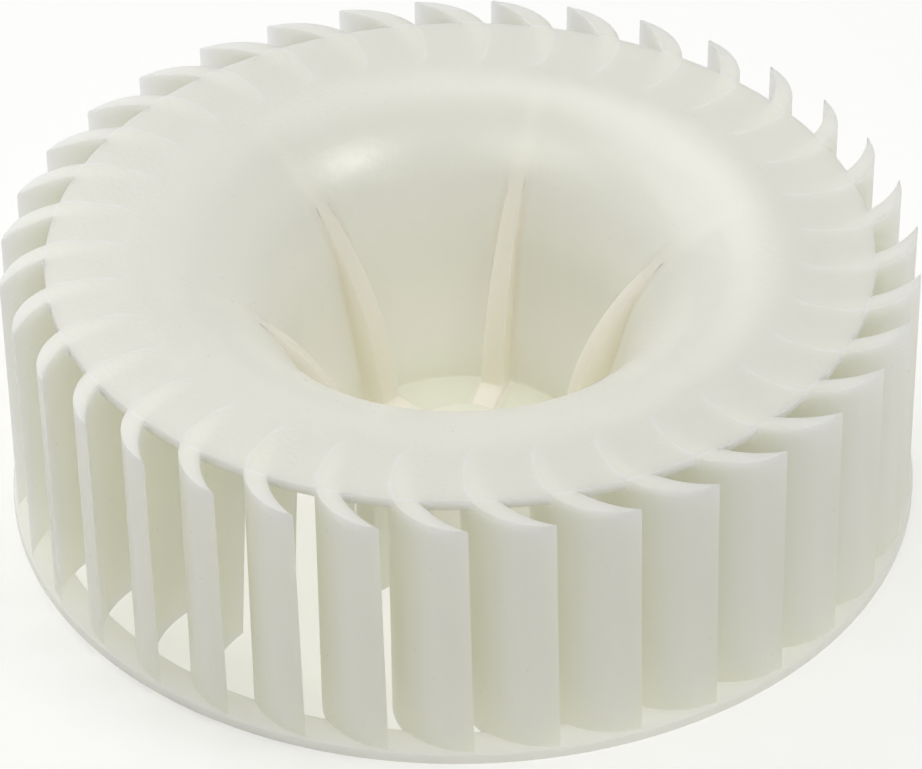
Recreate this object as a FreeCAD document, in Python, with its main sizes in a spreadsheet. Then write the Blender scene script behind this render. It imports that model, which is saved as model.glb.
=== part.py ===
import FreeCAD, Part
import os

import Sketcher

# Blower wheel of a clothes dryer, moulded in one piece.
# It stands on its foot ring: the axis is Z, the foot plane is Z = 0 and the disc is on top.

NODE = "blower_wheel"

# Lengths in millimetres, angles in degrees.
SIZES = {
    # wheel
    "wheel_height": 61.2,
    "tip_radius": 100.0,
    "disc_radius": 90.2,
    "wall": 2.4,
    # blades: crescents between two cylinders that lean apart, thick at the disc and thin at the foot
    "blade_count": 35,
    "back_radius": 17.0,
    "hollow_radius": 23.0,
    "blade_thick": 4.8,
    "blade_x": 83.1,
    "blade_y": 0.7,
    "blade_lean": 107.6,
    "back_draft": 2.5,
    "hollow_draft": 0.3,
    "tip_angle": 0.4,
    "inner_end": 70.8,
    "foot_inner_end": 74.7,
    "blade_step": 80.0,
    "blade_lift": 1.2,
    "spare": 15.0,
    # foot ring
    "ring_radius": 100.8,
    "ring_thick": 2.5,
    "tip_inset": 0.6,
    "ring_clearance": 3.2,
    # bell: the flat disc rolls over a round brow and three flats into the funnel, with three flats below
    "lip_start": 72.4,
    "lip_curve": 37.0,
    "lip_turn": 74.5,
    "brow_turn": 24.0,
    "flat_count": 3,
    "floor_top": 4.6,
    "floor_thick": 3.2,
    # ribs: six upright plates, a rib inside the funnel and a web under the bell in one
    "rib_count": 6,
    "crest_start": 56.8,
    "crest_top": 56.6,
    "crest_foot": 23.6,
    "crest_low": 6.5,
    "crest_curve": 60.0,
    "rib_half": 2.8,
    "rib_draft": 1.2,
    "web_radius": 70.0,
    "web_drop": 42.0,
    "web_foot": 41.0,
    # hub
    "hub_radius": 10.5,
    "hub_top": 10.5,
    "hub_fillet": 1.6,
    "bore_radius": 6.35,
    "core_radius": 3.5,
    "hub_overlap": 1.5,
}

# Sizes that follow from the ones above.
FOLLOWING = {
    "disc_under": "wheel_height - wall",
    "floor_under": "floor_top - floor_thick",
    "lip_z": "wheel_height - lip_curve",
    "hub_foot": "hub_radius + hub_fillet",
    "hub_low": "floor_top + hub_fillet",
    "buried": "wheel_height - wall / 2",
    "rib_low": "floor_top - floor_thick / 2",
    "web_low": "wheel_height - web_drop",
    "brow_x": "lip_start - lip_curve * sin(brow_turn)",
    "brow_z": "lip_z + lip_curve * cos(brow_turn)",
    "flat_turn": "(lip_turn - brow_turn) / flat_count",
    "under_curve": "lip_curve - wall",
    "ring_inner": "disc_radius + ring_clearance",
    "foot_tip": "ring_radius - tip_inset",
    "rib_inner": "hub_radius - hub_overlap",
    "lean": "blade_lean + tip_angle",
    "blade_length": "wheel_height + 2 * spare",
    "back_across": "(wheel_height + spare) * tan(back_draft)",
    "hollow_across": "blade_thick + hollow_radius - back_radius - (wheel_height + spare) * tan(hollow_draft)",
    "window_in": "inner_end - 2 * spare",
    "window_out": "tip_radius + spare",
    "window_low": "-2 * spare",
    "window_high": "wheel_height + 2 * spare",
}

# The corners of the flats, on the lip and under it. Below them the funnel runs on straight.
for step in (1, 2, 3):
    FOLLOWING[f"lip_{step}_x"] = f"lip_start - lip_curve * sin(brow_turn + {step} * flat_turn)"
    FOLLOWING[f"lip_{step}_z"] = f"lip_z + lip_curve * cos(brow_turn + {step} * flat_turn)"
    FOLLOWING[f"under_{step}_x"] = f"lip_start - under_curve * sin({step} * lip_turn / flat_count)"
    FOLLOWING[f"under_{step}_z"] = f"lip_z + under_curve * cos({step} * lip_turn / flat_count)"
FOLLOWING["floor_radius"] = "lip_3_x - (lip_3_z - floor_top) / tan(lip_turn)"
FOLLOWING["under_floor"] = "floor_radius + wall"

# Where the axes of the two cylinders of a blade start, below the foot, and about which lines they lean.
for side, way in (("back", "1"), ("hollow", "-1")):
    x = f"(blade_x + {side}_across * cos(blade_lean))"
    y = f"(blade_y + {side}_across * sin(blade_lean))"
    FOLLOWING[f"{side}_x"] = f"{x} * cos(tip_angle) - {y} * sin(tip_angle)"
    FOLLOWING[f"{side}_y"] = f"{x} * sin(tip_angle) + {y} * cos(tip_angle)"
    FOLLOWING[f"{side}_line_x"] = f"{way} * sin(lean)"
    FOLLOWING[f"{side}_line_y"] = f"-({way}) * cos(lean)"

doc = FreeCAD.newDocument("wheel")
sheet = doc.addObject("Spreadsheet::Sheet", "Sizes")
entries = [(alias, str(number)) for alias, number in SIZES.items()]
entries += [(alias, "=" + formula) for alias, formula in FOLLOWING.items()]
for row, (alias, _) in enumerate(entries, start=1):
    sheet.set(f"A{row}", alias)
    sheet.setAlias(f"B{row}", alias)
for row, (alias, content) in enumerate(entries, start=1):
    sheet.set(f"B{row}", content)
doc.recompute()

body = doc.addObject("PartDesign::Body", NODE)
body.Label = NODE
body.Placement = FreeCAD.Placement(FreeCAD.Vector(0, 0, 0), FreeCAD.Rotation())


def number(alias):
    """A size as a plain number, for the first drawing of a sketch."""
    found = sheet.get(alias)
    return float(getattr(found, "Value", found))


def origin(role):
    """A plane or axis of the body's own origin."""
    return next(item for item in body.Origin.OriginFeatures if item.Role == role)


def new_sketch(name, plane, lift=None, tilt=None):
    """A sketch on an origin plane, lifted by a size and tilted about its own X by an angle."""
    sketch = body.newObject("Sketcher::SketchObject", name)
    sketch.AttachmentSupport = (origin(plane), "")
    sketch.MapMode = "FlatFace"
    if tilt:
        sketch.AttachmentOffset = FreeCAD.Placement(
            FreeCAD.Vector(0, 0, 0), FreeCAD.Rotation(FreeCAD.Vector(1, 0, 0), 1)
        )
        sketch.setExpression("AttachmentOffset.Rotation.Angle", f"{tilt} * 1 deg")
    if lift:
        sketch.setExpression("AttachmentOffset.Base.z", f"{lift} * 1 mm")
    return sketch


def arc_points(start, end, radius, side):
    """A point of the short arc from start to end; side is +1 when it bulges to the left."""
    middle = (start + end) / 2
    across = end - start
    half = across.Length / 2
    normal = FreeCAD.Vector(-across.y, across.x, 0).normalize()
    return middle + normal * side * (radius - (radius**2 - half**2) ** 0.5)


def draw(sketch, corners, edges):
    """A closed outline. Corners are pairs of aliases; an edge is None for a line or (radius, side)."""
    points = [FreeCAD.Vector(number(x), number(y), 0) for x, y in corners]
    count = len(points)
    indices = []
    ends = []
    for i, edge in enumerate(edges):
        start, end = points[i], points[(i + 1) % count]
        if edge is None:
            curve = Part.LineSegment(start, end)
        else:
            radius, side = edge
            curve = Part.Arc(start, arc_points(start, end, number(radius), side), end)
        index = sketch.addGeometry(curve, False)
        forwards = (sketch.getPoint(index, 1) - start).Length < 1e-6
        indices.append(index)
        ends.append((1, 2) if forwards else (2, 1))
    for i, (x, y) in enumerate(corners):
        here, before = indices[i], indices[i - 1]
        sketch.addConstraint(Sketcher.Constraint("Coincident", before, ends[i - 1][1], here, ends[i][0]))
        for kind, alias, there in (("DistanceX", x, points[i].x), ("DistanceY", y, points[i].y)):
            row = sketch.addConstraint(Sketcher.Constraint(kind, -1, 1, here, ends[i][0], there))
            sketch.setExpression(f"Constraints[{row}]", f"Sizes.{alias}")
    for index, edge in zip(indices, edges):
        if edge is not None:
            row = sketch.addConstraint(Sketcher.Constraint("Radius", index, number(edge[0])))
            sketch.setExpression(f"Constraints[{row}]", f"Sizes.{edge[0]}")


def draw_circle(sketch, radius):
    """A circle about the origin."""
    circle = Part.Circle(FreeCAD.Vector(0, 0, 0), FreeCAD.Vector(0, 0, 1), number(radius))
    index = sketch.addGeometry(circle, False)
    sketch.addConstraint(Sketcher.Constraint("Coincident", index, 3, -1, 1))
    row = sketch.addConstraint(Sketcher.Constraint("Radius", index, number(radius)))
    sketch.setExpression(f"Constraints[{row}]", f"Sizes.{radius}")


def finish(feature, *sketches):
    """Hides the sketches of a feature, makes it the tip of the body and builds it."""
    for sketch in sketches:
        sketch.Visibility = False
    body.Tip = feature
    doc.recompute()
    return feature


def add_loft(name, first, second):
    """A straight-sided solid between two sketches."""
    loft = body.newObject("PartDesign::AdditiveLoft", name)
    loft.Profile = (first, [""])
    loft.Sections = [(second, [""])]
    loft.Ruled = True
    return finish(loft, first, second)


def add_leaning(kind, name, side):
    """A leaning cylinder, added or cut away: one side of a blade."""
    cylinder = body.newObject(f"PartDesign::{kind}Cylinder", name)
    cylinder.AttachmentSupport = (origin("XY_Plane"), "")
    cylinder.MapMode = "FlatFace"
    cylinder.setExpression("Radius", f"Sizes.{side}_radius")
    cylinder.setExpression("Height", "Sizes.blade_length")
    cylinder.setExpression("AttachmentOffset.Base.x", f"Sizes.{side}_x * 1 mm")
    cylinder.setExpression("AttachmentOffset.Base.y", f"Sizes.{side}_y * 1 mm")
    cylinder.setExpression("AttachmentOffset.Base.z", "-Sizes.spare * 1 mm")
    cylinder.setExpression("AttachmentOffset.Rotation.Axis.x", f"Sizes.{side}_line_x")
    cylinder.setExpression("AttachmentOffset.Rotation.Axis.y", f"Sizes.{side}_line_y")
    cylinder.setExpression("AttachmentOffset.Rotation.Angle", f"Sizes.{side}_draft * 1 deg")
    lines = FreeCAD.Vector(number(f"{side}_line_x"), number(f"{side}_line_y"), 0)
    corner = FreeCAD.Vector(number(f"{side}_x"), number(f"{side}_y"), -number("spare"))
    cylinder.AttachmentOffset = FreeCAD.Placement(corner, FreeCAD.Rotation(lines, number(f"{side}_draft")))
    return finish(cylinder)


def add_turned(name, sketch):
    """A section turned right round the axis."""
    turned = body.newObject("PartDesign::Revolution", name)
    turned.Profile = sketch
    turned.ReferenceAxis = (sketch, ["V_Axis"])
    turned.Angle = 360
    return finish(turned, sketch)


def add_cut(name, sketch):
    """A cut right through, both ways from its sketch."""
    cut = body.newObject("PartDesign::Pocket", name)
    cut.Profile = sketch
    cut.Type = "ThroughAll"
    cut.Midplane = True
    return finish(cut, sketch)


def add_ring(name, original, count):
    """Repeats a feature round the axis, or the whole body so far if no feature is named."""
    pattern = body.newObject("PartDesign::PolarPattern", name)
    if original:
        pattern.Originals = [original]
    else:
        pattern.TransformMode = "Whole shape"
    pattern.Axis = (origin("Z_Axis"), [""])
    pattern.Angle = 360
    pattern.setExpression("Occurrences", f"Sizes.{count}")
    return finish(pattern)


# One blade: inside the cylinder of its back and outside the cylinder of its hollow.
add_leaning("Additive", "BladeBack", "back")
add_leaning("Subtractive", "BladeHollow", "hollow")

# What lies outside a window is cut away: the ends are blunt, and the inner part stops inside the disc.
window = new_sketch("BladeWindow", "XZ_Plane")
draw(
    window,
    [
        ("window_in", "window_low"),
        ("window_out", "window_low"),
        ("window_out", "window_high"),
        ("window_in", "window_high"),
    ],
    [None] * 4,
)
draw(
    window,
    [
        ("foot_inner_end", "blade_lift"),
        ("foot_tip", "blade_lift"),
        ("tip_radius", "wheel_height"),
        ("blade_step", "wheel_height"),
        ("blade_step", "buried"),
        ("inner_end", "buried"),
    ],
    [None] * 6,
)
add_cut("BladeEnds", window)
add_ring("BladeRing", None, "blade_count")

# Bell and hub: one section turned about the axis.
section = new_sketch("BellSection", "XZ_Plane")
draw(
    section,
    [
        ("disc_radius", "disc_under"),
        ("disc_radius", "wheel_height"),
        ("lip_start", "wheel_height"),
        ("brow_x", "brow_z"),
        ("lip_1_x", "lip_1_z"),
        ("lip_2_x", "lip_2_z"),
        ("lip_3_x", "lip_3_z"),
        ("floor_radius", "floor_top"),
        ("hub_foot", "floor_top"),
        ("hub_radius", "hub_low"),
        ("hub_radius", "hub_top"),
        ("core_radius", "hub_top"),
        ("core_radius", "floor_under"),
        ("under_floor", "floor_under"),
        ("under_3_x", "under_3_z"),
        ("under_2_x", "under_2_z"),
        ("under_1_x", "under_1_z"),
        ("lip_start", "disc_under"),
    ],
    [
        None,
        None,
        ("lip_curve", -1),
        None,
        None,
        None,
        None,
        None,
        None,
        None,
        None,
        None,
        None,
        None,
        None,
        None,
        None,
        None,
    ],
)
add_turned("Bell", section)

# Foot ring: wider than the disc all round, so that both halves of the mould pull straight.
ring_sketch = new_sketch("FootRingSection", "XY_Plane")
draw_circle(ring_sketch, "ring_radius")
draw_circle(ring_sketch, "ring_inner")
ring = body.newObject("PartDesign::Pad", "FootRing")
ring.Profile = ring_sketch
ring.setExpression("Length", "Sizes.ring_thick")
finish(ring, ring_sketch)

# Ribs: each plate is thick at the foot, thin at the top and buried in the wall of the bell between.
rib_corners = [
    ("web_radius", "buried"),
    ("web_radius", "web_low"),
    ("web_foot", "rib_low"),
    ("rib_inner", "rib_low"),
    ("rib_inner", "crest_low"),
    ("crest_foot", "crest_low"),
    ("crest_start", "crest_top"),
]
rib_sketches = []
for side, half, draft in (
    ("left", "Sizes.rib_half", "-Sizes.rib_draft"),
    ("right", "-Sizes.rib_half", "Sizes.rib_draft"),
):
    outline = new_sketch(f"Rib_{side}", "XZ_Plane", half, draft)
    draw(outline, rib_corners, [None, None, None, None, None, ("crest_curve", 1), None])
    rib_sketches.append(outline)
rib = add_loft("Rib", *rib_sketches)
add_ring("RibRing", rib, "rib_count")

# Bore for the motor shaft.
bore_sketch = new_sketch("BoreSection", "XY_Plane")
draw_circle(bore_sketch, "bore_radius")
add_cut("Bore", bore_sketch)

# Everything is looked at before it is written.
for item in doc.Objects:
    if "Invalid" in item.State or "Error" in item.State:
        raise RuntimeError(f"{item.Name} doesn't build: {item.State}")
shape = body.Shape
if shape.isNull() or not shape.isValid() or len(shape.Solids) != 1:
    raise RuntimeError(f"{NODE} isn't one valid solid")

os.makedirs("parts", exist_ok=True)
shape.exportStep(f"parts/{NODE}.step")
print(NODE, "volume", round(shape.Volume / 1000, 2), "cm3, faces", len(shape.Faces))
print("size", round(shape.BoundBox.XLength, 2), round(shape.BoundBox.YLength, 2), round(shape.BoundBox.ZLength, 2))
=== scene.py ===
"""Blower wheel of a clothes dryer: its looks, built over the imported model.

The wheel is one moulding of natural, milky plastic. Lengths are in metres, in the frame of the model:
the axis is Z, the foot ring stands on Z = 0 and the disc is on top.
"""

import logging
import math
from dataclasses import dataclass, field
from enum import Enum

import bmesh
import bpy
from mathutils import Matrix, Vector

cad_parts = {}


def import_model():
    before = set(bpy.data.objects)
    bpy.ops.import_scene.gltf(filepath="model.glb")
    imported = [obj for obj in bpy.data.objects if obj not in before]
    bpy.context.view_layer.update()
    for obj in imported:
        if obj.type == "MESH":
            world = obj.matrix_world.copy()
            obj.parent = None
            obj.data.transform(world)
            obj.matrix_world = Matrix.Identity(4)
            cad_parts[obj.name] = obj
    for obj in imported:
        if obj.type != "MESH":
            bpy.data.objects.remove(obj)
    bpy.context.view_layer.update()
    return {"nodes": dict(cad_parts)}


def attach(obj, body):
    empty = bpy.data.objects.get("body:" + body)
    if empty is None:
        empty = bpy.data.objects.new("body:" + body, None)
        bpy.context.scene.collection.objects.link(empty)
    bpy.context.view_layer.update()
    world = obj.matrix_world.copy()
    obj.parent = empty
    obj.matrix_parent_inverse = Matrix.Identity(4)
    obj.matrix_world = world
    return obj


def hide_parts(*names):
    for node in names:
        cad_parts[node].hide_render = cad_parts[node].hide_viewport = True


log = logging.getLogger("wheel")

WHEEL = "blower_wheel"
WHITE = (1.0, 1.0, 1.0, 1.0)


def polar(angle: float, reach: float) -> Vector:
    """The flat point at an angle about the axis and so far from it."""
    return Vector((math.cos(angle), math.sin(angle))) * reach


class Sock:
    """A shader value. Python's own operators add the Math nodes."""

    def __init__(self, graph: "Graph", link: object) -> None:
        """Keeps a socket or a number.

        Args:
            graph: The node graph that new nodes go to.
            link: An output socket or a plain number.
        """
        self.graph = graph
        self.link = link

    def _maths(self, operation: str, *others: object) -> "Sock":
        """Adds one Math node.

        Args:
            operation: The operation's name, as Blender writes it.
            others: The further values, sockets or numbers.

        Returns:
            The node's value.
        """
        values = {i: v for i, v in enumerate((self, *others))}
        return self.graph.node("ShaderNodeMath", {"operation": operation}, values)

    def __add__(self, other: object) -> "Sock":
        """Sum."""
        return self._maths("ADD", other)

    __radd__ = __add__

    def __sub__(self, other: object) -> "Sock":
        """Difference."""
        return self._maths("SUBTRACT", other)

    def __rsub__(self, other: object) -> "Sock":
        """Difference, the other way round."""
        return Sock(self.graph, other)._maths("SUBTRACT", self)

    def __mul__(self, other: object) -> "Sock":
        """Product."""
        return self._maths("MULTIPLY", other)

    __rmul__ = __mul__

    def __truediv__(self, other: object) -> "Sock":
        """Quotient."""
        return self._maths("DIVIDE", other)

    def __rtruediv__(self, other: object) -> "Sock":
        """Quotient, the other way round."""
        return Sock(self.graph, other)._maths("DIVIDE", self)

    def __abs__(self) -> "Sock":
        """Distance from 0."""
        return self._maths("ABSOLUTE")

    def wrap(self, low: float, high: float) -> "Sock":
        """Folds the value into a range that repeats."""
        return self._maths("WRAP", high, low)

    def most(self, other: object) -> "Sock":
        """The larger of two values."""
        return self._maths("MAXIMUM", other)

    def root(self) -> "Sock":
        """Square root."""
        return self._maths("SQRT")

    def turn(self, across: object) -> "Sock":
        """The angle whose tangent is this value over another, in radians."""
        return self._maths("ARCTAN2", across)

    def cosine(self) -> "Sock":
        """Cosine."""
        return self._maths("COSINE")

    def sine(self) -> "Sock":
        """Sine."""
        return self._maths("SINE")

    def ramp(self, start: float, end: float) -> "Sock":
        """A soft step.

        Args:
            start: The value at which the step is 0. It may be above the end.
            end: The value at which the step is 1.

        Returns:
            The step, from 0 to 1.
        """
        settings = {"interpolation_type": "SMOOTHSTEP"}
        low, high, at_low, at_high = (start, end, 0.0, 1.0) if start < end else (end, start, 1.0, 0.0)
        sockets = {"Value": self, "From Min": low, "From Max": high, "To Min": at_low, "To Max": at_high}
        return self.graph.node("ShaderNodeMapRange", settings, sockets)

    def band(self, middle: float, half: float) -> "Sock":
        """A soft bump that is 1 at the middle and 0 from half a width away."""
        return abs(self - middle).ramp(half, 0.0)


class Graph:
    """The nodes of one material or world."""

    def __init__(self, tree: bpy.types.NodeTree) -> None:
        """Empties the tree.

        Args:
            tree: The node tree of the material or world.
        """
        self.tree = tree
        tree.nodes.clear()

    def node(self, kind: str, settings: dict, sockets: dict, out: int | str = 0) -> Sock:
        """Adds a node.

        Args:
            kind: Blender's name for the type of node.
            settings: The node's properties, set before its sockets.
            sockets: Values or links, by the input's name or number.
            out: The output that is returned.

        Returns:
            The output, or the node itself in a wrapper if it has none.
        """
        made = self.tree.nodes.new(kind)
        for name, value in settings.items():
            setattr(made, name, value)
        for name, value in sockets.items():
            self._join(made.inputs[name], value)
        return Sock(self, made.outputs[out] if len(made.outputs) else made)

    def _join(self, socket: bpy.types.NodeSocket, value: object) -> None:
        """Links a socket or sets its value.

        Args:
            socket: The input.
            value: A wrapped output, or a number, vector or colour.
        """
        link = value.link if isinstance(value, Sock) else value
        if isinstance(link, bpy.types.NodeSocket):
            self.tree.links.new(link, socket)
        else:
            socket.default_value = link

    def mix(self, share: object, first: object, second: object) -> Sock:
        """Mixes two colours.

        Args:
            share: How much of the second colour there is.
            first: A colour or a link to one.
            second: A colour or a link to one.

        Returns:
            The mixed colour.
        """
        return self.node("ShaderNodeMix", {"data_type": "RGBA"}, {0: share, 6: first, 7: second}, 2)

    def place(self) -> tuple:
        """The point of the surface, in metres.

        Returns:
            The point as one vector, and its three coordinates.
        """
        point = self.node("ShaderNodeTexCoord", {}, {}, "Object")
        parts = self.node("ShaderNodeSeparateXYZ", {}, {0: point}).link.node
        return point, *(Sock(self, out) for out in parts.outputs)

    def noise(self, point: Sock, scale: float, detail: float) -> Sock:
        """A cloudy pattern from 0 to 1 at a scale of so many lumps in a metre."""
        sockets = {"Vector": point, "Scale": scale, "Detail": detail}
        return self.node("ShaderNodeTexNoise", {}, sockets)

    def seen(self) -> Sock:
        """1 for what the camera sees, straight or through something clear, and 0 for the light that is given."""
        straight = self.node("ShaderNodeLightPath", {}, {}, "Is Camera Ray")
        return straight.most(Sock(self, straight.link.node.outputs["Is Transmission Ray"]))


@dataclass
class Crescent:
    """The section of a blade: inside the circle of its back and outside the circle of its hollow.

    In the solid the backs lean in towards the foot. On the wheel they are plumb, apart from a slight slant,
    so a blade has the same section at the foot as at the disc.

    Attributes:
        count: How many blades there are.
        tip_turn: The angle of the first blade's own axis about the wheel's.
        height: The height of the wheel.
        back: The radius of the back's circle.
        hollow: The radius of the hollow's circle.
        centre: The centre of the back's circle, at the top.
        apart: How far the hollow's centre is from the back's, at the top.
        towards: The direction from the back's centre to the hollow's.
        back_draft: The lean of the back in the solid.
        hollow_draft: The lean of the hollow in the solid.
        ring_inner: The inner radius of the foot ring.
        ring_top: The height of the foot ring's flat top.
        lift: The height at which the solid's blades start, inside the ring.
        under_disc: The height above which the points stay where they are.
        inner_end: The least distance from the axis at which a point can be on a blade.
        outer_end: The largest distance from the axis at which a point can be on a blade.
        number_slack: The angle by which the count of the blades starts later.
        tip: How far the blades' tips are from the axis.
        tip_end: The angle of the tip in the blade's own axes.
        slant: How far the sides turn on, from the top down to the foot.
        near: The distance from a circle within which a point is on it.
        edge_near: The same for the ring's inner edge.
        level: The difference in height within which points are level.
        ring_slack: How far inside the ring's inner edge a point still counts as on it.
    """

    count: int = 35
    tip_turn: float = math.radians(0.4)
    height: float = 0.0612
    back: float = 0.017
    hollow: float = 0.023
    centre: tuple = (0.0831, 0.0007)
    apart: float = 0.0108
    towards: float = math.radians(107.6)
    back_draft: float = math.radians(2.5)
    hollow_draft: float = math.radians(0.3)
    ring_inner: float = 0.0934
    ring_top: float = 0.0025
    lift: float = 0.0012
    under_disc: float = 0.0575
    inner_end: float = 0.0705
    outer_end: float = 0.1004
    number_slack: float = math.radians(0.6)
    tip: float = 0.1
    tip_end: float = math.radians(-0.06)
    slant: float = math.radians(0.5)
    near: float = 3e-5
    edge_near: float = 2e-5
    level: float = 1e-6
    ring_slack: float = 1e-4

    @property
    def pitch(self) -> float:
        """The angle from one blade to the next."""
        return 2 * math.pi / self.count

    @property
    def radii(self) -> tuple:
        """The radii of the back and the hollow."""
        return self.back, self.hollow

    def on_ring_top(self, vert: bmesh.types.BMVert) -> bool:
        """Whether a point is on the flat top of the foot ring, its inner edge included."""
        level = abs(vert.co.z - self.ring_top) < self.level
        return level and vert.co.xy.length > self.ring_inner - self.ring_slack

    def circles(self, fall: float) -> tuple:
        """The solid's two circles, so far below the top.

        Args:
            fall: The depth below the top of the wheel.

        Returns:
            The centre of the back's circle, that of the hollow's, and the point in which they meet at the tip.
        """
        way = Vector((math.cos(self.towards), math.sin(self.towards)))
        across = Vector((way.y, -way.x))
        first = Vector(self.centre) + way * fall * math.tan(self.back_draft)
        second = Vector(self.centre) + way * (self.apart - fall * math.tan(self.hollow_draft))
        gap = (second - first).length
        along = (self.back**2 - self.hollow**2 + gap**2) / (2 * gap)
        return first, second, first + way * along + across * math.sqrt(self.back**2 - along**2)

    @staticmethod
    def turn_at(centre: Vector, radius: float, reach: float) -> float:
        """The angle about the axis at which a circle is so far from the axis, on its outer side."""
        cosine = (reach**2 + centre.length_squared - radius**2) / (2 * reach * centre.length)
        return math.atan2(centre.y, centre.x) - math.acos(max(-1.0, min(1.0, cosine)))

    def turns_at(self, circles: tuple, reach: float) -> list:
        """The angles at which the back and the hollow are so far from the axis."""
        return [self.turn_at(centre, radius, reach) for centre, radius in zip(circles, self.radii)]

    def stand(self, bm: bmesh.types.BMesh) -> None:
        """Moves the points of the blades' sides out, so that the section stays the same down to the foot.

        Args:
            bm: The wheel, its doubles merged.
        """
        top = self.circles(0.0)
        for vert in bm.verts:
            reach = vert.co.xy.length
            if vert.co.z > self.under_disc or reach < self.inner_end or reach > self.outer_end:
                continue
            turn = math.atan2(vert.co.y, vert.co.x) - self.tip_turn
            lean = self.circles(self.height - vert.co.z)
            number = math.ceil((turn - self.number_slack) / self.pitch)
            for blade in (number, number + 1):
                point = polar(turn - blade * self.pitch, reach)
                off = [abs((point - centre).length - radius) for centre, radius in zip(lean, self.radii)]
                if min(off) < self.near:
                    self._move(vert, blade, off, lean, top)
                    break
            else:
                self._slide(vert, turn, lean, top)
        self._new_ring_top(bm)

    def _move(self, vert: bmesh.types.BMVert, blade: int, off: list, lean: tuple, top: tuple) -> None:
        """Moves a point of a blade's side to its new place.

        Args:
            vert: The point.
            blade: The number of the blade.
            off: The point's distances from the back and from the hollow.
            lean: The solid's circles at the point's height.
            top: The circles at the top, which are the wheel's at every height.
        """
        reach = vert.co.xy.length
        share = max(0.0, (reach - self.ring_inner) / (lean[2].length - self.ring_inner))
        out = reach if share == 0.0 else self.ring_inner + share * (self.tip - self.ring_inner)
        turns = self.turns_at(top, out)
        at_tip = max(off) < self.near and share > 0.5
        if at_tip:
            out, turns = self.tip, [self.tip_end] * 2
        side = 0 if off[0] <= off[1] else 1
        fresh = turns[side] + self.slant * min(1.0, share) * (1 - vert.co.z / self.height)
        fresh += blade * self.pitch + self.tip_turn
        vert.co.xy = polar(fresh, out)

    def _slide(self, vert: bmesh.types.BMVert, turn: float, lean: tuple, top: tuple) -> None:
        """Slides a point of the ring's inner edge between the blades' new places.

        Args:
            vert: The point.
            turn: Its angle from the first blade's axis.
            lean: The solid's circles at the point's height.
            top: The circles at the top.
        """
        reach = vert.co.xy.length
        if abs(reach - self.ring_inner) > self.edge_near or vert.co.z < self.lift / 2:
            return
        old, new = self.turns_at(lean, reach), self.turns_at(top, reach)
        number = math.floor((turn - old[0]) / self.pitch)
        local = turn - number * self.pitch
        if local < old[1]:
            share = (local - old[0]) / (old[1] - old[0])
            fresh = new[0] + share * (new[1] - new[0])
        else:
            share = (local - old[1]) / (old[0] + self.pitch - old[1])
            fresh = new[1] + share * (new[0] + self.pitch - new[1])
        fresh += number * self.pitch + self.tip_turn
        vert.co.xy = polar(fresh, reach)

    def _new_ring_top(self, bm: bmesh.types.BMesh) -> None:
        """Fills the flat top of the foot ring anew, round the blades' new outlines.

        Args:
            bm: The wheel, its blades moved.
        """
        flat = [f for f in bm.faces if all(self.on_ring_top(v) for v in f.verts)]
        bmesh.ops.delete(bm, geom=flat, context="FACES")
        rim = [e for e in bm.edges if e.is_boundary]
        bmesh.ops.triangle_fill(bm, edges=rim, use_beauty=True, use_dissolve=False, normal=(0.0, 0.0, 1.0))


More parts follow.
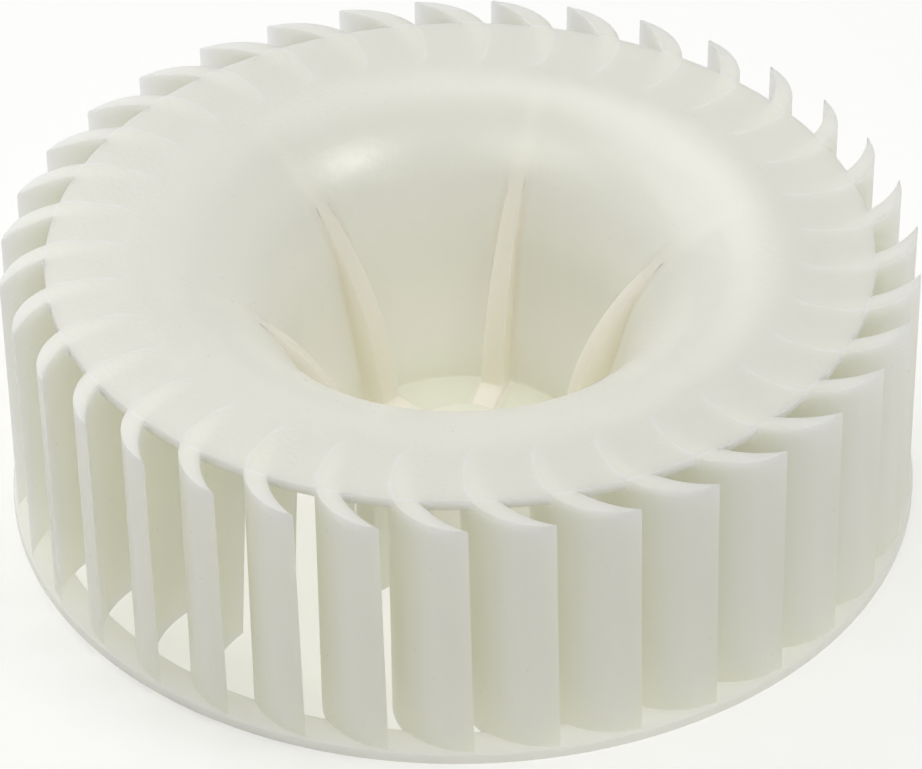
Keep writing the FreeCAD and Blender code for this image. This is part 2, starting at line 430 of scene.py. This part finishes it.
@dataclass(frozen=True)
class MilkyPlastic:
    """Natural plastic: milky, slightly green, lit through where it is thin.

    A pair of numbers is the start and the end of a soft step. Lengths along Z end in height.

    Attributes:
        body: The colour of most of the wheel.
        cloudy: The colour of the clouds in it.
        rib: The colour of the ribs.
        painted_funnel_shade: The colour of the funnel's floor, darker: painted shade for the bottom of the
            funnel.
        arc: The light colour painted where a blade's back shows through the disc and along the disc's rim:
            painted highlights.
        through: The share of a lamp's light that one wall lets through.
        roughness: The middle roughness.
        roughness_swing: How far the grain moves it.
        ior: The refraction of the plastic.
        scatter: How far red, green and blue spread inside, as shares of the scale.
        scatter_scale: The scale of that.
        scatter_share: The share of the light that goes in.
        cloud: The scale and the detail of the clouds.
        cloud_step: The noise between which the clouds come in.
        cloud_share: How much of their colour there is.
        grain: The scale and the detail of the grain.
        grain_share: The strength of the grain's relief.
        grain_depth: The depth of the grain's relief.
        rib_pitch: The angle from one rib to the next.
        rib_side: The distances from a rib's middle line at which its colour ends and is full.
        rib_outer: The same for its outer end.
        rib_inner: The same for its inner end.
        funnel_shade_edge: The same for the painted shade on the funnel's floor.
        funnel_shade_height: The same for that painted shade, upwards.
        rim: The middle and the half width of the painted highlight along the disc's rim.
        rim_highlight_height: The height of that painted highlight's start and of its full strength.
        disc_height: The same for the arcs.
        painted_light_share: How much of the painted highlights' colour there is, on the arcs and on the rim.
        arc_inset: How far the middle of an arc is inside the back's circle.
        arc_half: Half the width of an arc.
        arc_outer: The distances from the axis at which the arcs end and are full.
        arc_inner: The same for their inner end.
        arc_turns: The range of angles in which a back's arc is looked for, in pitches.
    """

    body: tuple = (0.92, 0.92, 0.785, 1.0)
    cloudy: tuple = (0.88, 0.89, 0.74, 1.0)
    rib: tuple = (0.86, 0.81, 0.70, 1.0)
    painted_funnel_shade: tuple = (0.70, 0.71, 0.58, 1.0)
    arc: tuple = (0.99, 0.99, 0.90, 1.0)
    through: tuple = (0.90, 0.90, 0.90, 1.0)
    roughness: float = 0.31
    roughness_swing: float = 0.10
    ior: float = 1.49
    scatter: tuple = (1.0, 1.0, 1.0)
    scatter_scale: float = 0.014
    scatter_share: float = 1.0
    cloud: tuple = (28.0, 1.0)
    cloud_step: tuple = (0.3, 0.75)
    cloud_share: float = 0.35
    grain: tuple = (900.0, 0.0)
    grain_share: float = 0.12
    grain_depth: float = 0.0002
    rib_pitch: float = math.radians(60.0)
    rib_side: tuple = (0.0042, 0.0024)
    rib_outer: tuple = (0.051, 0.041)
    rib_inner: tuple = (0.011, 0.013)
    funnel_shade_edge: tuple = (0.034, 0.026)
    funnel_shade_height: tuple = (0.022, 0.005)
    rim: tuple = (0.0902, 0.0006)
    rim_highlight_height: tuple = (0.058, 0.0586)
    disc_height: tuple = (0.056, 0.058)
    painted_light_share: float = 0.85
    arc_inset: float = 0.0005
    arc_half: float = 0.0009
    arc_outer: tuple = (0.0905, 0.0885)
    arc_inner: tuple = (0.072, 0.078)
    arc_turns: tuple = (-1.05, -0.05)

    def material(self, blades: Crescent) -> bpy.types.Material:
        """Makes the material.

        Args:
            blades: The blades, whose backs show through the disc.

        Returns:
            The material, for one wheel about the Z axis.
        """
        made = bpy.data.materials.new("milky_plastic")
        made.use_nodes = True
        g = Graph(made.node_tree)
        point, x, y, z = g.place()
        clouds = g.noise(point, *self.cloud)
        grain = g.noise(point, *self.grain)
        reach = (x * x + y * y).root()
        colour = g.mix(clouds.ramp(*self.cloud_step) * self.cloud_share, self.body, self.cloudy)
        # Painted shade: the funnel's floor and the foot of its wall are darkened, standing in for the shade low
        # in the funnel.
        colour = g.mix(reach.ramp(*self.funnel_shade_edge) * z.ramp(*self.funnel_shade_height), colour, self.painted_funnel_shade)
        colour = g.mix(self._ribs(x, y, reach), colour, self.rib)
        # Painted highlights: light lines where the blades' backs show through the disc, and along the disc's
        # rim.
        colour = g.mix(self._painted_light_lines(blades, x, y, z, reach) * self.painted_light_share, colour, self.arc)
        relief = {"Strength": self.grain_share, "Distance": self.grain_depth, "Height": grain}
        plastic = g.node(
            "ShaderNodeBsdfPrincipled",
            {"subsurface_method": "RANDOM_WALK"},
            {
                "Base Color": colour,
                "Roughness": self.roughness + (grain - 0.5) * self.roughness_swing,
                "IOR": self.ior,
                "Subsurface Weight": self.scatter_share,
                "Subsurface Radius": self.scatter,
                "Subsurface Scale": self.scatter_scale,
                "Normal": g.node("ShaderNodeBump", {}, relief),
            },
        )
        clear = g.node("ShaderNodeBsdfTransparent", {}, {"Color": self.through})
        shadow = g.node("ShaderNodeLightPath", {}, {}, "Is Shadow Ray")
        both = g.node("ShaderNodeMixShader", {}, {0: shadow, 1: plastic, 2: clear})
        g.node("ShaderNodeOutputMaterial", {}, {"Surface": both})
        return made

    def _ribs(self, x: Sock, y: Sock, reach: Sock) -> Sock:
        """A mask of the ribs.

        Args:
            x: The first coordinate.
            y: The second coordinate.
            reach: The distance from the axis.

        Returns:
            A mask that is 1 on the ribs.
        """
        off = abs(y.turn(x).wrap(-self.rib_pitch / 2, self.rib_pitch / 2)) * reach
        return off.ramp(*self.rib_side) * reach.ramp(*self.rib_outer) * reach.ramp(*self.rib_inner)

    def _painted_light_lines(self, blades: Crescent, x: Sock, y: Sock, z: Sock, reach: Sock) -> Sock:
        """Painted light lines on the disc: painted highlights on the backs of the blades, which show through it,
        and on its rim.

        Args:
            blades: The blades.
            x: The first coordinate.
            y: The second coordinate.
            z: The height.
            reach: The distance from the axis.

        Returns:
            A mask that is 1 along the lines.
        """
        low, high = self.arc_turns
        turn = (y.turn(x) - blades.tip_turn).wrap(low * blades.pitch, high * blades.pitch)
        along = turn.cosine() * reach - blades.centre[0]
        across = turn.sine() * reach - blades.centre[1]
        off = (along * along + across * across).root()
        # Painted highlight arcs where the blades' backs meet the disc.
        arcs = off.band(blades.back - self.arc_inset, self.arc_half)
        arcs = arcs * reach.ramp(*self.arc_outer) * reach.ramp(*self.arc_inner)
        # Painted highlight: a light line along the disc's rim edge.
        rim = reach.band(*self.rim) * z.ramp(*self.rim_highlight_height)
        return (arcs * z.ramp(*self.disc_height)).most(rim)


@dataclass
class Moulding:
    """The wheel as the mould leaves it: every edge a little round, the blades upright.

    Attributes:
        blades: The section of the blades.
        lip_start: The distance from the axis at which the lip's curve starts.
        lip_centre: The height of the middle of the lip's curve.
        lip_radius: The radius of the lip's upper face.
        lip_low: The height over that middle above which the lip's flats are.
        lip_flat: How far the flats may be off the curve, in and out.
        lip_step: The angle above which an edge of a flat is cut finer.
        lip_cuts: The cuts that such an edge gets.
        wall: The thickness of the lip.
        edge: The width of the rounded edges.
        edge_steps: The faces across a rounded edge.
        sharp: The angle above which an edge is rounded.
        keen: The angle above which it is left crisp.
        foot_end: The largest distance from the axis of a point of a blade's foot.
        merge: The distance within which points are one.
        near: The distance within which a point is at a place.
        finish: The plastic.
    """

    blades: Crescent = field(default_factory=Crescent)
    lip_start: float = 0.0724
    lip_centre: float = 0.0242
    lip_radius: float = 0.037
    lip_low: float = 0.008
    lip_flat: tuple = (-0.00055, 0.00003)
    lip_step: float = math.radians(2.5)
    lip_cuts: int = 3
    wall: float = 0.0024
    edge: float = 0.0003
    edge_steps: int = 2
    sharp: float = math.radians(28.0)
    keen: float = math.radians(112.0)
    foot_end: float = 0.1003
    merge: float = 1e-6
    near: float = 1e-5
    finish: MilkyPlastic = field(default_factory=MilkyPlastic)

    def build(self, node: bpy.types.Object) -> bpy.types.Object:
        """Makes the moulding from a copy of the model's solid and lets it stand for the solid.

        Args:
            node: The model's own object.

        Returns:
            The new piece.
        """
        mesh = bpy.data.meshes.new("moulding")
        bm = bmesh.new()
        bm.from_mesh(node.data)
        bmesh.ops.remove_doubles(bm, verts=bm.verts, dist=self.merge)
        self.blades.stand(bm)
        for radius in (self.lip_radius, self.lip_radius - self.wall):
            self._swell(bm, radius)
        bmesh.ops.recalc_face_normals(bm, faces=bm.faces)
        self._round(bm)
        bmesh.ops.recalc_face_normals(bm, faces=bm.faces)
        for face in bm.faces:
            face.smooth = True
        bm.to_mesh(mesh)
        bm.free()
        made = bpy.data.objects.new("moulding", mesh)
        bpy.context.scene.collection.objects.link(made)
        made.data.materials.append(self.finish.material(self.blades))
        even = made.modifiers.new("even", "WEIGHTED_NORMAL")
        even.mode = "FACE_AREA"
        even.weight = 100
        even.keep_sharp = True
        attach(made, "root")
        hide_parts(node.name)
        log.info("%s: %d faces", made.name, len(mesh.polygons))
        return made

    def _off_lip(self, vert: bmesh.types.BMVert) -> Vector:
        """A point's place from the middle of the lip's curve, outwards and up."""
        return Vector((vert.co.xy.length - self.lip_start, vert.co.z - self.lip_centre))

    def _on_lip(self, vert: bmesh.types.BMVert, radius: float) -> bool:
        """Whether a point is on a flat of the lip.

        Args:
            vert: The point.
            radius: The radius of the lip's curve on this face.

        Returns:
            True if it is.
        """
        off = self._off_lip(vert)
        low, high = self.lip_flat
        return off.x < self.near and off.y > self.lip_low and low < off.length - radius < high

    def _swell(self, bm: bmesh.types.BMesh, radius: float) -> None:
        """Makes one face of the lip round: its flats are cut finer and pushed out to the curve.

        Args:
            bm: The wheel.
            radius: The curve's radius.
        """
        faces = [f for f in bm.faces if all(self._on_lip(v, radius) for v in f.verts)]
        edges = list({e for f in faces for e in f.edges})
        steep = [e for e in edges if self._off_lip(e.verts[0]).angle(self._off_lip(e.verts[1])) > self.lip_step]
        bmesh.ops.subdivide_edges(bm, edges=steep, cuts=self.lip_cuts, use_grid_fill=True)
        for vert in bm.verts:
            if self._on_lip(vert, radius):
                off = self._off_lip(vert)
                off *= radius / off.length
                vert.co.xy *= (self.lip_start + off.x) / vert.co.xy.length
                vert.co.z = self.lip_centre + off.y

    def _is_crisp(self, edge: bmesh.types.BMEdge) -> bool:
        """Whether a sharp edge stays crisp.

        Args:
            edge: An edge above the sharp angle.

        Returns:
            True for the blades' thin tips and their foot on the ring.
        """
        foot = all(self.blades.on_ring_top(v) and v.co.xy.length < self.foot_end for v in edge.verts)
        tip = all(
            v.co.xy.length > self.blades.tip - self.near and v.co.z > self.blades.ring_top for v in edge.verts
        )
        return foot or tip or edge.calc_face_angle(0.0) > self.keen

    def _round(self, bm: bmesh.types.BMesh) -> None:
        """Rounds the sharp edges, outer and inner, apart from the crisp ones.

        Args:
            bm: The wheel.
        """
        sharp = [e for e in bm.edges if e.calc_face_angle(0.0) > self.sharp]
        for edge in sharp:
            edge.smooth = not self._is_crisp(edge)
        bmesh.ops.bevel(
            bm,
            geom=[e for e in sharp if e.smooth],
            affect="EDGES",
            offset=self.edge,
            offset_type="OFFSET",
            segments=self.edge_steps,
            profile=0.5,
            material=-1,
            clamp_overlap=False,
        )


class Lamp(Enum):
    """The lamps of the studio: place, aim, size, power and colour."""

    RIGHT = ((0.529, -0.193, 1.11), (0.0, 0.0, 0.05), 0.27, 3.7, (1.0, 0.99, 0.97))
    LEFT = ((-0.42, -0.10, 1.15), (0.0, 0.0, 0.05), 0.5, 2.4, (1.0, 0.99, 0.97))
    BACK = ((-0.30, 0.90, 1.0), (0.0, 0.0, 0.03), 0.9, 5.8, (1.0, 1.0, 1.0))


@dataclass
class Studio:
    """Pale floor, soft lamps and an even white surround.

    Attributes:
        floor_half: Half the width of the floor.
        floor_drop: How far the floor is under the foot ring, so that no two faces coincide.
        floor_colour: The floor's colour.
        floor_lift: How much lighter the camera sees the floor than it is lit.
        world_strength: The surround's strength as a light.
    """

    floor_half: float = 1.6
    floor_drop: float = 0.0001
    floor_colour: tuple = (0.9, 0.9, 0.9, 1.0)
    floor_lift: float = 0.14
    world_strength: float = 0.36

    def build(self) -> None:
        """Makes the floor, the world and the lamps."""
        self._floor()
        self._world()
        for lamp in Lamp:
            self._lamp(lamp)

    def _floor(self) -> None:
        """A plain floor that the camera sees as white, apart from the shadow."""
        bpy.ops.mesh.primitive_plane_add(size=2 * self.floor_half, location=(0.0, 0.0, -self.floor_drop))
        floor = bpy.context.object
        floor.name = "floor"
        made = bpy.data.materials.new("floor")
        made.use_nodes = True
        g = Graph(made.node_tree)
        plain = g.node("ShaderNodeBsdfDiffuse", {}, {"Color": self.floor_colour})
        white = g.node("ShaderNodeEmission", {}, {"Color": WHITE, "Strength": g.seen() * self.floor_lift})
        both = g.node("ShaderNodeAddShader", {}, {0: plain, 1: white})
        g.node("ShaderNodeOutputMaterial", {}, {"Surface": both})
        floor.data.materials.append(made)

    def _world(self) -> None:
        """An even surround: white to the camera, softer as a light."""
        world = bpy.data.worlds.new("surround")
        world.use_nodes = True
        g = Graph(world.node_tree)
        strength = self.world_strength + g.seen() * (1.0 - self.world_strength)
        back = g.node("ShaderNodeBackground", {}, {"Color": WHITE, "Strength": strength})
        g.node("ShaderNodeOutputWorld", {}, {"Surface": back})
        bpy.context.scene.world = world

    def _lamp(self, lamp: Lamp) -> None:
        """Adds one square area lamp.

        Args:
            lamp: Which lamp.
        """
        place, aim, size, power, colour = lamp.value
        data = bpy.data.lights.new(lamp.name.lower(), "AREA")
        data.shape = "SQUARE"
        data.size = size
        data.energy = power
        data.color = colour
        made = bpy.data.objects.new(data.name, data)
        made.location = place
        made.rotation_euler = (Vector(aim) - Vector(place)).to_track_quat("-Z", "Y").to_euler()
        bpy.context.scene.collection.objects.link(made)


@dataclass
class Viewpoint:
    """The camera, where the photographer's was.

    Attributes:
        azimuth: The camera's angle about the wheel's axis.
        distance: How far it is from the axis.
        height: How high it is over the floor.
        aim_right: How far to the right of the axis it looks.
        aim_height: The height at which it looks.
        roll: How far it is turned about the line of sight.
        lens_in_pixels: The focal length in pixels of the picture.
        picture_width: The width of the picture in pixels.
        sensor: The width of the sensor in millimetres.
        clip: The nearest and the farthest distance that it sees.
    """

    azimuth: float = math.radians(257.0)
    distance: float = 0.83643
    height: float = 0.64712
    aim_right: float = -0.000164
    aim_height: float = 0.023418
    roll: float = math.radians(-0.77)
    lens_in_pixels: float = 4697.97
    picture_width: int = 922
    sensor: float = 36.0
    clip: tuple = (0.05, 20.0)

    def build(self) -> None:
        """Makes the camera and sets it as the scene's."""
        data = bpy.data.cameras.new("camera")
        data.sensor_fit = "HORIZONTAL"
        data.sensor_width = self.sensor
        data.lens = self.lens_in_pixels * self.sensor / self.picture_width
        data.clip_start, data.clip_end = self.clip
        right = Vector((-math.sin(self.azimuth), math.cos(self.azimuth), 0.0))
        place = Vector((math.cos(self.azimuth), math.sin(self.azimuth), 0.0)) * self.distance
        place.z = self.height
        aim = right * self.aim_right + Vector((0.0, 0.0, self.aim_height))
        ahead = (aim - place).normalized()
        side = ahead.cross(Vector((0.0, 0.0, 1.0))).normalized()
        above = side.cross(ahead)
        across = side * math.cos(self.roll) + above * math.sin(self.roll)
        up = above * math.cos(self.roll) - side * math.sin(self.roll)
        made = bpy.data.objects.new("camera", data)
        made.matrix_world = Matrix.Translation(place) @ Matrix((across, up, -ahead)).transposed().to_4x4()
        bpy.context.scene.collection.objects.link(made)
        bpy.context.scene.camera = made


def main() -> None:
    """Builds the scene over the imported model."""
    logging.basicConfig(level=logging.INFO, format="%(name)s: %(message)s")
    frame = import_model()
    bpy.context.scene.view_settings.view_transform = "Standard"
    Moulding().build(frame["nodes"][WHEEL])
    Studio().build()
    Viewpoint().build()


if __name__ == "__main__":
    main()
